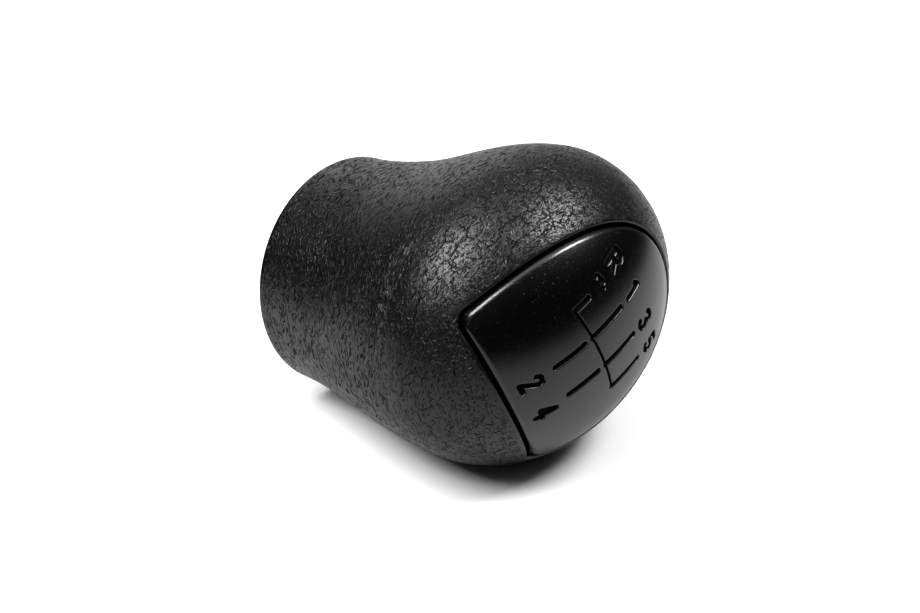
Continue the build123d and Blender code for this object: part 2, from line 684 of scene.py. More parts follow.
def plastic(name: str) -> tuple[bpy.types.Material, Graph, Wire]:
    """Starts a material.

    Args:
        name: The material's name.

    Returns:
        The material, its graph, and the place on the piece in millimetres.
    """
    material = bpy.data.materials.new(name)
    material.use_nodes = True
    graph = Graph(material.node_tree)
    place = graph.add("ShaderNodeTexCoord", None, None, "Object")
    return material, graph, graph.scaled(place, 1 / MM)


def grey(value: float) -> tuple[float, float, float, float]:
    """A neutral colour."""
    return (value, value, value, 1.0)


@dataclass(frozen=True)
class LeatherGrain:
    """Moulded leather grain on the unrolled skin: short pointed grooves all over, and cracks on the head."""

    neck_top: float = 20.0
    head_foot: float = 34.0
    cell_length: float = 1.85
    cell_height: float = 0.98
    neck_groove: float = 2.6
    head_groove: float = 1.9
    neck_wander: float = 0.32
    head_wander: float = 0.21
    neck_swing: float = 1.3
    head_swing: float = 1.7
    groove_wave: float = 1.65
    groove_width: float = 0.55
    groove_wall: tuple[float, float] = (1.0, 0.4)
    groove_chance: tuple[float, float] = (0.05, 0.6)
    head_calm: float = 0.6
    small_size: float = 0.55
    small_shift: float = 40.0
    small_depth: float = 0.85
    crack_cell: float = 2.5
    crack_width: float = 0.26
    crack_floor: float = 0.15
    crack_wave: float = 1.8
    crack_wander: float = 0.32
    crack_patches: float = 0.45
    crack_breaks: tuple[float, float] = (0.42, 0.52)
    crack_foot: float = 34.0
    crack_full: float = 43.0
    scuff_middle: tuple[float, float] = (-3.0, 36.2)
    scuff_reach: tuple[float, float] = (15.0, 2.2)
    scuff_fade: tuple[float, float] = (1.0, 0.3)
    scuff_stroke: tuple[float, float] = (8.0, 0.36)
    scuff_line: tuple[float, float] = (0.07, 0.02)
    scuff_patches: float = 0.6
    scuff_breaks: tuple[float, float] = (0.46, 0.54)

    def wavy(self, graph: Graph, flat: Wire, length: float, swing: float | Wire) -> Wire:
        """Place on the skin, wandering so that no line is straight.

        Args:
            graph: A shader graph.
            flat: Place on the unrolled skin in millimetres.
            length: Length of the waves.
            swing: About how far the place wanders.

        Returns:
            The place that it wanders to.
        """
        noise = graph.noise(flat, 1 / length, 1.0, 1, True)
        wander = graph.vector("SUBTRACT", noise, (0.5, 0.5, 0.5))
        # The noise strays by about a quarter from its middle
        return graph.vector("ADD", flat, graph.scaled(wander, 4 * swing))

    def patches(self, graph: Graph, flat: Wire, scale: float, breaks: tuple[float, float]) -> Wire:
        """Share of irregular patches on the skin, which break up lines."""
        return graph.noise(flat, scale, 1.0, 0, True).smooth(*breaks)

    def grooves(self, graph: Graph, flat: Wire, size: float, shift: float) -> Wire:
        """Depth of the grooves: one in each cell of a net, pointed at both ends and turned by chance.

        Args:
            graph: A shader graph.
            flat: Place on the unrolled skin in millimetres.
            size: Size of the grooves, as a share of the largest.
            shift: Shift of the net, so that two nets differ.

        Returns:
            The depth, from 0 to 1.
        """
        on_head = graph.split(flat)[1].smooth(self.neck_top, self.head_foot)
        wander, turn, reach = (
            neck + on_head * (head - neck)
            for neck, head in (
                (self.neck_wander, self.head_wander),
                (self.neck_swing, self.head_swing),
                (self.neck_groove, self.head_groove),
            )
        )
        step = (size * self.cell_length, size * self.cell_height, 1.0)
        moved = graph.vector("ADD", self.wavy(graph, flat, self.groove_wave, wander), (shift, shift, 0.0))
        net = graph.vector("DIVIDE", moved, step)
        spot = graph.voronoi(net, "F1", "Position", True)
        chance = graph.split(Wire(graph, spot.socket.node.outputs["Color"]))
        along, across, _ = graph.split(graph.vector("MULTIPLY", graph.vector("SUBTRACT", net, spot), step))
        swing = (chance[0] - 0.5) * turn
        cosine, sine = graph.math("COSINE", swing), graph.math("SINE", swing)
        run = (along * cosine + across * sine) * (2 / size) / reach
        side = graph.math("ABSOLUTE", across * cosine - along * sine) * (2 / (size * self.groove_width))
        return (side + run * run).smooth(*self.groove_wall) * chance[1].smooth(*self.groove_chance)

    def all_grooves(self, graph: Graph, flat: Wire) -> Wire:
        """Depth of large grooves, fewer on the head, and of small ones between them.

        Args:
            graph: A shader graph.
            flat: Place on the unrolled skin in millimetres.

        Returns:
            The depth, from 0 to 1.
        """
        calm = 1.0 - graph.split(flat)[1].smooth(self.crack_foot, self.crack_full) * self.head_calm
        large = self.grooves(graph, flat, 1.0, 0.0)
        small = self.grooves(graph, flat, self.small_size, self.small_shift)
        return graph.math("MAXIMUM", large * calm, small * self.small_depth)

    def cracks(self, graph: Graph, flat: Wire) -> Wire:
        """Depth of the broken net of cracks on the head.

        Args:
            graph: A shader graph.
            flat: Place on the unrolled skin in millimetres.

        Returns:
            The depth, from 0 to 1.
        """
        on_head = graph.split(flat)[1].smooth(self.crack_foot, self.crack_full)
        net = graph.scaled(self.wavy(graph, flat, self.crack_wave, self.crack_wander), 1 / self.crack_cell)
        edge = graph.voronoi(net, "DISTANCE_TO_EDGE", flat=True)
        brink = self.crack_width / (2 * self.crack_cell)
        whole = edge.smooth(brink, self.crack_floor * self.crack_width / self.crack_cell)
        return whole * self.patches(graph, flat, self.crack_patches, self.crack_breaks) * on_head

    def scuffs(self, graph: Graph, flat: Wire) -> Wire:
        """Fine scratches that wear has left round the top of the neck.

        Args:
            graph: A shader graph.
            flat: Place on the unrolled skin in millimetres.

        Returns:
            Their share, from 0 to 1.
        """
        away = graph.vector("SUBTRACT", flat, (*self.scuff_middle, 0.0))
        away = graph.vector("DIVIDE", away, (*self.scuff_reach, 1.0))
        near = graph.vector("LENGTH", away, output="Value").smooth(*self.scuff_fade)
        drawn = graph.vector("DIVIDE", flat, (*self.scuff_stroke, 1.0))
        ridge = graph.math("ABSOLUTE", graph.noise(drawn, 1.0, 1.0, 0, True) - 0.5)
        line = ridge.smooth(*self.scuff_line)
        return near * line * self.patches(graph, flat, self.scuff_patches, self.scuff_breaks)


GRAIN = LeatherGrain()


@dataclass(frozen=True)
class GrainedPlastic:
    """Black moulded plastic with a leather grain, faded to smooth where the grain layer says so; its cracks
    and grooves blend into a darker, duller copy of it as painted shade.
    """

    colour: float = 0.0007
    # Darker, duller copy of the plastic for the cracks' and grooves' hollows: painted shade, not a colour of
    # its own.
    painted_shade_colour: float = 0.0003
    scuff_colour: float = 0.1
    roughness: float = 0.28
    sheen: float = 0.36
    painted_shade_roughness: float = 0.7
    painted_shade_sheen: float = 0.06
    crack_depth: float = 0.1
    # How much of that painted shade the cracks and the grooves take.
    crack_painted_shade: float = 0.9
    groove_depth: float = 0.16
    groove_painted_shade: float = 0.95
    bead_scale: float = 2.4
    bead_range: tuple[float, float] = (0.58, 0.76)
    bead_height: float = 0.09
    grit_scale: float = 4.5
    grit_height: float = 0.06

    def material(self) -> bpy.types.Material:
        """Makes the material.

        Returns:
            The material.
        """
        material, graph, place = plastic("grained_black_plastic")
        share = graph.layer(Layer.GRAIN)
        flat = graph.layer(Layer.PLACE, "Vector")
        cracks = GRAIN.cracks(graph, flat) * share
        grooves = GRAIN.all_grooves(graph, flat) * share
        # Painted shade: the cracks and grooves blend towards the darker, duller copy below, standing for the
        # shade in their hollows.
        dark = graph.math("MAXIMUM", cracks * self.crack_painted_shade, grooves * self.groove_painted_shade)
        beads = graph.noise(place, self.bead_scale, 2.0).smooth(*self.bead_range)
        grit = graph.noise(place, self.grit_scale, 1.0)
        height = (beads * self.bead_height + grit * self.grit_height) * share
        height = height - cracks * self.crack_depth - grooves * self.groove_depth
        scuffed = graph.colour(GRAIN.scuffs(graph, flat), grey(self.colour), grey(self.scuff_colour))
        skin = graph.surface(
            {
                "Base Color": scuffed,
                "Roughness": self.roughness,
                "Specular IOR Level": self.sheen,
                "Normal": graph.bump(height),
            }
        )
        # Darker, duller copy of the plastic: painted shade in the hollows.
        hollow = graph.surface(
            {
                "Base Color": grey(self.painted_shade_colour),
                "Roughness": self.painted_shade_roughness,
                "Specular IOR Level": self.painted_shade_sheen,
            }
        )
        graph.end(graph.add("ShaderNodeMixShader", None, {0: dark, 1: skin, 2: hollow}))
        return material


@dataclass(frozen=True)
class SatinPlastic:
    """Smooth satin black plastic with a fine sparkle; the engraving's floor blends into a darker, duller copy
    of it as painted shade.
    """

    colour: float = 0.0003
    # Darker, duller copy of the plastic for the engraving's floor: painted shade in the strokes.
    engraved_painted_shade_colour: float = 0.0002
    dust_colour: float = 0.15
    roughness: float = 0.21
    engraved_painted_shade_roughness: float = 0.75
    engraved_painted_shade_sheen: float = 0.05
    engraved_painted_shade_ramp: tuple[float, float] = (0.15, 0.6)
    sparkle_scale: float = 5.5
    sparkle_depth: float = 0.013
    sparkle_roughness: float = 0.12
    fleck_scale: float = 4.0
    fleck_range: tuple[float, float] = (0.67, 0.82)
    fleck_height: float = 0.02
    speck_scale: float = 0.3
    speck_edge: tuple[float, float] = (0.03, 0.015)
    dust_scale: float = 0.2
    dust_range: tuple[float, float] = (0.48, 0.6)

    def material(self) -> bpy.types.Material:
        """Makes the material.

        Returns:
            The material.
        """
        material, graph, place = plastic("satin_black_plastic")
        sparkle = graph.noise(place, self.sparkle_scale, 2.0)
        flecks = graph.noise(place, self.fleck_scale, 1.0).smooth(*self.fleck_range)
        height = sparkle * self.sparkle_depth + flecks * self.fleck_height
        speck = graph.voronoi(graph.scaled(place, self.speck_scale), "F1").smooth(*self.speck_edge)
        dust = speck * graph.noise(place, self.dust_scale, 1.0).smooth(*self.dust_range)
        face = graph.surface(
            {
                "Base Color": graph.colour(dust, grey(self.colour), grey(self.dust_colour)),
                "Roughness": self.roughness + (sparkle - 0.5) * self.sparkle_roughness,
                "Normal": graph.bump(height),
            }
        )
        # Painted shade: a darker, duller copy of the plastic for the floor of the engraving.
        floor = graph.surface(
            {
                "Base Color": grey(self.engraved_painted_shade_colour),
                "Roughness": self.engraved_painted_shade_roughness,
                "Specular IOR Level": self.engraved_painted_shade_sheen,
            }
        )
        # The engraving's depth share blends in that painted shade towards the strokes' floors.
        engraved = graph.layer(Layer.ENGRAVED).smooth(*self.engraved_painted_shade_ramp)
        graph.end(graph.add("ShaderNodeMixShader", None, {0: engraved, 1: face, 2: floor}))
        return material


@dataclass(frozen=True)
class SleevePlastic:
    """Plain dark grey moulded plastic with faint draw marks along the lever."""

    colour: float = 0.035
    dark_colour: float = 0.022
    roughness: float = 0.5
    draw_scale: tuple[float, float, float] = (3.0, 3.0, 0.15)
    draw_depth: float = 0.01
    draw_roughness: float = 0.3
    mottle_scale: float = 0.6
    mottle_range: tuple[float, float] = (0.35, 0.65)

    def material(self) -> bpy.types.Material:
        """Makes the material.

        Returns:
            The material.
        """
        material, graph, place = plastic("dark_sleeve_plastic")
        drawn = graph.noise(graph.vector("MULTIPLY", place, self.draw_scale), 1.0, 3.0)
        mottle = graph.noise(place, self.mottle_scale, 2.0).smooth(*self.mottle_range)
        colour = graph.colour(mottle, grey(self.dark_colour), grey(self.colour))
        bump = graph.bump(drawn * self.draw_depth)
        rough = self.roughness + (drawn - 0.5) * self.draw_roughness
        graph.end(graph.surface({"Base Color": colour, "Roughness": rough, "Normal": bump}))
        return material


@dataclass
class GripBody:
    """The grained moulding: hollow neck with a ribbed socket tube, and a head with the insert's recess."""

    columns: int = 460
    neck_spacing: float = 0.32
    dome_rings: int = 44
    rim_rounding: float = 0.6
    rim_steps: int = 5
    lip_rounding: float = 0.4
    lip_steps: int = 8
    seat_steps: int = 3
    insert_gap: float = 0.45
    seat_depth: float = 2.3
    pocket_half_width: float = 12.5
    pocket_half_length: float = 10.0
    pocket_centre: float = -0.2
    pocket_corner: float = 3.0
    pocket_floor: float = 36.8
    skirt_wall: float = 3.0
    skirt_draft: float = math.radians(1.5)
    hollow_top: float = 33.5
    tube_end: float = 1.6
    tube_outer: float = 11.15
    tube_inner: float = 8.55
    tube_top: float = 33.8
    key_height: float = 1.0
    key_width: float = 2.5
    key_roof: float = 0.02
    rib_count: int = 4
    rib_thickness: float = 1.8
    rib_setback: float = 6.0
    window_reach: float = 13.4
    window_width: float = 5.5
    window_foot: float = 45.35
    window_height: float = 2.75
    window_spread: float = 10.0
    grain_depth: float = 0.06
    fade_length: float = 0.9
    crease: float = 42.0
    turn: Array = field(init=False)

    def __post_init__(self) -> None:
        """Works out the angles of the columns."""
        self.turn = turns(self.columns)

    def level(self, x: Array, y: Array, height: float) -> Array:
        """A ring at one height."""
        return np.stack([x, y, np.full(self.columns, height)], -1)

    def circle(self, radius: float, height: float) -> Array:
        """A level ring round the lever axis."""
        return self.level(radius * np.cos(self.turn), radius * np.sin(self.turn), height)

    def lip_start(self) -> tuple[Array, Array, Array, Array, Array]:
        """Where the lip's rounding leaves the dome.

        Returns:
            Its place in plan, its outward direction in plan and the dome's fall there.
        """
        wall_x, wall_y = OUTLINE.ring(self.insert_gap, self.turn)
        across, along = OUTLINE.normal(wall_x, wall_y)
        fall = FORM.dome_slope(wall_x, wall_y, across, along)
        reach = self.lip_rounding * (1 + np.sin(fall))
        return wall_x + reach * across, wall_y + reach * along, across, along, fall

    def recess_rings(self) -> list[Array]:
        """Rings of the pocket and of the seat round it.

        Returns:
            The rings, from the pocket's floor to the lip's foot.
        """
        wall_x, wall_y = OUTLINE.ring(self.insert_gap, self.turn)
        share_in, share_out = np.zeros(self.columns), np.ones(self.columns)
        for _ in range(HALVINGS):
            share = (share_in + share_out) / 2
            far_x = np.abs(share * wall_x) - self.pocket_half_width + self.pocket_corner
            far_y = np.abs(OUTLINE.middle + share * (wall_y - OUTLINE.middle) - self.pocket_centre)
            far_y = far_y - self.pocket_half_length + self.pocket_corner
            beyond = np.hypot(np.maximum(far_x, 0), np.maximum(far_y, 0))
            outside = beyond + np.minimum(np.maximum(far_x, far_y), 0) > self.pocket_corner
            share_out = np.where(outside, share, share_out)
            share_in = np.where(outside, share_in, share)
        edge_x, edge_y = share_in * wall_x, OUTLINE.middle + share_in * (wall_y - OUTLINE.middle)
        rings = [self.level(edge_x, edge_y, self.pocket_floor)]
        for step in range(self.seat_steps + 1):
            x = edge_x + (wall_x - edge_x) * step / self.seat_steps
            y = edge_y + (wall_y - edge_y) * step / self.seat_steps
            rings.append(np.stack([x, y, FORM.dome_height(x, y, self.seat_depth)], -1))
        return rings

    def lip_rings(self) -> list[Array]:
        """Rings of the lip's rounding.

        Returns:
            The rings, from the recess wall out to the dome.
        """
        start_x, start_y, across, along, fall = self.lip_start()
        rings = rounding((start_x, start_y), (across, along), fall, self.lip_rounding, self.lip_steps, -1)
        return rings[::-1]

    def head_rings(self) -> list[Array]:
        """Rings of the dome.

        Returns:
            The rings, from the lip down to the head's widest section.
        """
        start_x, start_y, *_ = self.lip_start()
        lip_across, lip_along = FORM.disc_place(start_x, start_y)
        rings = []
        for step in range(self.dome_rings - 1, -1, -1):
            share = (step / self.dome_rings) ** 2
            across = np.cos(self.turn) + share * (lip_across - np.cos(self.turn))
            along = np.sin(self.turn) + share * (lip_along - np.sin(self.turn))
            rings.append(FORM.dome_point(across, along))
        return rings

    def neck_rings(self) -> list[Array]:
        """Rings of the neck.

        Returns:
            The rings, from the head down round the rim's edge.
        """
        count = round((FORM.head_height - self.rim_rounding) / self.neck_spacing)
        heights = np.linspace(FORM.head_height, self.rim_rounding, count + 1)[1:]
        rings = [FORM.neck_ring(height, self.turn) for height in heights]
        for step in range(1, self.rim_steps + 1):
            swing = math.pi / 2 * step / self.rim_steps
            height = self.rim_rounding * (1 - math.sin(swing))
            rings.append(FORM.neck_ring(height, self.turn, self.rim_rounding * (1 - math.cos(swing))))
        return rings

    def hollow_rings(self) -> list[Array]:
        """Rings of the hollow neck.

        Returns:
            The rings of the skirt wall, the roof, the socket tube and its bore.
        """
        mouth = FORM.rim_radius - self.skirt_wall
        top = mouth - self.hollow_top * math.tan(self.skirt_draft)
        return [
            self.circle(mouth, 0.0),
            self.circle(top, self.hollow_top),
            self.circle(self.tube_outer, self.hollow_top),
            self.circle(self.tube_outer, self.tube_end),
            self.circle(self.tube_inner, self.tube_end),
            self.circle(self.tube_inner, self.tube_top),
        ]

    def ribs(self, finish: bpy.types.Material) -> bpy.types.Object:
        """The ribs between the socket tube and the skirt, repeated round the lever axis.

        Args:
            finish: The material that they get.

        Returns:
            The ribs, as a tool.
        """
        tree = new_tree(
            "socket_ribs",
            {
                "Count": ("NodeSocketInt", self.rib_count),
                "Size": ("NodeSocketVector", None),
                "Middle": ("NodeSocketVector", None),
                "Finish": ("NodeSocketMaterial", None),
            },
        )
        given = tree_inputs(tree)
        box = tree.add("GeometryNodeMeshCube", None, {"Size": given["Size"]}, "Mesh")
        placed = tree.add("GeometryNodeTransform", None, {"Geometry": box, "Translation": given["Middle"]})
        points = tree.add("GeometryNodePoints", None, {"Count": given["Count"]})
        number = tree.add("GeometryNodeInputIndex")
        angle = (number + 0.5) * (2 * math.pi / self.rib_count)
        turned = tree.add("FunctionNodeEulerToRotation", None, {0: tree.joined(0.0, 0.0, angle)})
        spread = tree.add(
            "GeometryNodeInstanceOnPoints", None, {"Points": points, "Instance": placed, "Rotation": turned}
        )
        end_tree(tree, spread, given["Finish"])
        ribs = new_piece("ribs", np.zeros((0, 3)), [])
        root, reach = (self.tube_inner + self.tube_outer) / 2, FORM.rim_radius - self.skirt_wall / 2
        foot, top = self.rib_setback, self.tube_top
        size = ((reach - root) * MM, self.rib_thickness * MM, (top - foot) * MM)
        middle = ((reach + root) / 2 * MM, 0.0, (top + foot) / 2 * MM)
        run_tree(ribs, tree, {"Count": self.rib_count, "Size": size, "Middle": middle, "Finish": finish})
        return ribs

    def keyways(self) -> bpy.types.Object:
        """The space of the two keyways in the socket's bore.

        Returns:
            The space, as a tool.
        """
        reach, half = self.tube_inner + self.key_height, self.key_width / 2
        foot, roof = self.tube_end / 2, self.tube_top - self.key_roof
        return boxes("keyways", [((-reach, -half, foot), (reach, half, roof))])

    def windows(self) -> bpy.types.Object:
        """The space of the windows that the insert's hooks snap into.

        Returns:
            The space, as a tool.
        """
        reach, half, foot = self.window_reach, self.window_width / 2, self.window_foot
        stations = [self.pocket_centre + side * self.window_spread / 2 for side in (-1, 1)]
        return boxes(
            "windows",
            [((-reach, y - half, foot), (reach, y + half, foot + self.window_height)) for y in stations],
        )

    def grain_share(self, points: Array) -> Array:
        """Share of the grain at each point: full on the skin, fading at the rim and the lip, none inside.

        Args:
            points: Points of the grip.

        Returns:
            The shares.
        """
        x, y, z = points.T
        low = np.clip(z - self.rim_rounding, 0, self.fade_length) / self.fade_length
        lip = self.insert_gap + self.lip_rounding
        high = np.clip(OUTLINE.distance(x, y) - lip, 0, self.fade_length) / self.fade_length
        high = np.where(z > FORM.head_height, high, 1)
        inner = np.hypot(x, y) < FORM.rim_radius - self.skirt_wall / 2
        inside = (z < self.pocket_floor) & inner
        return np.where(inside, 0, eased(low) * eased(high))

    def add_grain(self, piece: bpy.types.Object, finish: bpy.types.Material) -> None:
        """Raises the grain's cells on the skin.

        Args:
            piece: The grip.
            finish: The material that it gets.
        """
        tree = new_tree(
            "leather_grain",
            {"Depth": ("NodeSocketFloat", self.grain_depth * MM), "Finish": ("NodeSocketMaterial", None)},
        )
        given = tree_inputs(tree)
        place = tree.scaled(tree.add("GeometryNodeInputPosition"), 1 / MM)
        share = tree.add(
            "GeometryNodeInputNamedAttribute", {"data_type": "FLOAT"}, {"Name": Layer.GRAIN.value}
        )
        height = 0.5 - tree.voronoi(tree.scaled(place, 1 / GRAIN.crack_cell), "SMOOTH_F1")
        offset = tree.scaled(tree.add("GeometryNodeInputNormal"), height * given["Depth"] * share)
        moved = tree.add("GeometryNodeSetPosition", None, {"Geometry": given["Geometry"], "Offset": offset})
        end_tree(tree, moved, given["Finish"])
        run_tree(piece, tree, {"Depth": self.grain_depth * MM, "Finish": finish})

    def build(self) -> bpy.types.Object:
        """Builds and dresses the grip.

        Returns:
            The finished piece.
        """
        rings = [
            *self.recess_rings(),
            *self.lip_rings(),
            *self.head_rings(),
            *self.neck_rings(),
            *self.hollow_rings(),
        ]
        points, faces = closed_skin(
            rings, (0.0, OUTLINE.middle, self.pocket_floor), (0.0, 0.0, self.tube_top)
        )
        piece = new_piece("grained_grip", points, faces)
        finish = GrainedPlastic().material()
        fuse(piece, self.ribs(finish), Fuse.ADD)
        fuse(piece, self.keyways(), Fuse.CUT)
        fuse(piece, self.windows(), Fuse.CUT)
        set_layer(piece, Layer.GRAIN, self.grain_share(points_of(piece)))
        self.add_grain(piece, finish)
        set_unrolled(piece)
        shade_smooth(piece, self.crease)
        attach(piece, "root")
        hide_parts(CadNode.GRIP.value)
        return piece


@dataclass(frozen=True)
class Stroke:
    """One engraved stroke: a chain of points in plan, and its width."""

    points: tuple[Plan, ...]
    width: float

    def distance(self, x: Array, y: Array) -> Array:
        """Signed distance from the stroke's edge.

        Args:
            x: Places across the knob.
            y: Places along the knob.

        Returns:
            The distances, below zero inside the stroke.
        """
        nearest = np.full(np.shape(x), np.inf)
        for (from_x, from_y), (to_x, to_y) in zip(self.points, self.points[1:]):
            run_x, run_y = to_x - from_x, to_y - from_y
            share = np.clip(((x - from_x) * run_x + (y - from_y) * run_y) / (run_x**2 + run_y**2), 0, 1)
            nearest = np.minimum(nearest, np.hypot(x - from_x - share * run_x, y - from_y - share * run_y))
        return nearest - self.width / 2


def arc(x: float, y: float, radius: float, start: float, end: float, steps: int = 12) -> list[Plan]:
    """Points of an arc, from its start angle to its end angle in degrees."""
    angles = np.radians(np.linspace(start, end, steps + 1))
    return [(x + radius * math.cos(a), y + radius * math.sin(a)) for a in angles]


class Sign(Enum):
    """Signs beside the gear lines, as chains of points in a box one unit tall round the origin."""

    ONE = ([(-0.2, 0.34), (-0.01, 0.5), (0.03, -0.5)],)
    TWO = ([*arc(0.0, 0.28, 0.22, 170, -35), (-0.21, -0.5), (0.22, -0.5)],)
    THREE = ([*arc(-0.02, 0.27, 0.23, 150, -75), *arc(-0.02, -0.24, 0.26, 75, -150)],)
    FOUR = ([(0.1, -0.5), (0.1, 0.5), (-0.24, -0.2), (0.26, -0.2)],)
    FIVE = ([(0.22, 0.5), (-0.18, 0.5), (-0.2, 0.08), *arc(-0.02, -0.2, 0.28, 128, -140)],)
    REVERSE = (
        [(-0.27, -0.5), (-0.27, 0.5), *arc(0.02, 0.25, 0.25, 90, -90), (-0.27, 0.0)],
        [(0.0, 0.0), (0.27, -0.5)],
    )
    LIFT = (
        [
            *arc(-0.42, 0.02, 0.16, 250, 60, 6),
            *arc(0.1, -0.02, 0.3, 130, 40, 4),
            *arc(0.5, 0.0, 0.14, 240, 340, 6),
        ],
    )


@dataclass(frozen=True)
class ShiftPattern:
    """Engraved shift pattern: gear lines, the neutral line across them, and their signs."""

    inner_column: float = 3.07
    outer_column: float = 8.63
    neutral_line: float = 0.34
    front_end: float = 7.45
    fifth_end: float = 7.0
    reverse_end: float = 3.5
    back_end: float = -7.1
    back_line_gap: float = 1.6
    gear_line_width: float = 0.95
    neutral_line_width: float = 0.45
    sign_width: float = 0.85
    sign_height: float = 3.3
    lift_place: Plan = (-9.0, 6.95)
    lift_width: float = 0.5
    lift_height: float = 2.0

    def gear_lines(self) -> list[Stroke]:
        """The gear lines and the neutral line.

        Returns:
            Their strokes.
        """
        near, far, level = self.inner_column, self.outer_column, self.neutral_line
        back_start = level - self.back_line_gap
        ends = [
            (-far, level, self.reverse_end),
            (-near, level, self.front_end),
            (near, level, self.front_end),
            (far, level, self.fifth_end),
            (-near, self.back_end, back_start),
            (near, self.back_end, back_start),
        ]
        lines = [Stroke(((x, start), (x, end)), self.gear_line_width) for x, start, end in ends]
        return [*lines, Stroke(((-far, level), (far, level)), self.neutral_line_width)]

    def signs(self) -> list[Stroke]:
        """The signs at the ends of the lines, which read from behind the knob.

        Returns:
            Their strokes.
        """
        height, width = self.sign_height, self.sign_width
        placed = [
            (Sign.ONE, -3.0, 11.2, height, width),
            (Sign.THREE, 3.45, 11.05, height, width),
            (Sign.FIVE, 8.9, 10.85, height, width),
            (Sign.TWO, -2.8, -11.2, height, width),
            (Sign.FOUR, 3.7, -11.2, height, width),
            (Sign.REVERSE, -9.1, 11.6, height, width),
            (Sign.LIFT, *self.lift_place, self.lift_height, self.lift_width),
        ]
        return [
            Stroke(tuple((x + size * u, y + size * v) for u, v in chain), thick)
            for sign, x, y, size, thick in placed
            for chain in sign.value
        ]

    def distance(self, x: Array, y: Array) -> Array:
        """Signed distance from the edge of the nearest stroke, below zero inside it."""
        return np.min([stroke.distance(x, y) for stroke in [*self.gear_lines(), *self.signs()]], axis=0)


def contour(values: Array, level: float, x: Array, y: Array) -> tuple[Array, Array]:
    """Lines of one level through a grid of values.

    Args:
        values: A value for each column and row.
        level: The level.
        x: Places of the columns.
        y: Places of the rows.

    Returns:
        The lines' points, and the pairs of points that are joined.
    """
    above = values > level
    number = {}
    points = []
    for axis in (0, 1):
        first = [slice(None), slice(None)]
        second = [slice(None), slice(None)]
        first[axis], second[axis] = slice(None, -1), slice(1, None)
        start, end = values[tuple(first)], values[tuple(second)]
        crossed = above[tuple(first)] != above[tuple(second)]
        i, j = np.nonzero(crossed)
        share = (level - start[crossed]) / (end[crossed] - start[crossed])
        step_x, step_y = (x[1] - x[0], 0) if axis == 0 else (0, y[1] - y[0])
        numbers = np.full(crossed.shape, -1)
        numbers[crossed] = len(points) + np.arange(len(i))
        number[axis] = numbers
        points += np.stack([x[i] + share * step_x, y[j] + share * step_y], -1).tolist()
    across, along = number[0], number[1]
    sides = np.stack([across[:, :-1], along[1:, :], across[:, 1:], along[:-1, :]], -1).reshape(-1, 4)
    met = (sides >= 0).sum(-1)
    pairs = [sides[met == 2][sides[met == 2] >= 0].reshape(-1, 2)]
    pairs += [sides[met == 4][:, :2], sides[met == 4][:, 2:]]
    return np.array(points), np.concatenate(pairs)


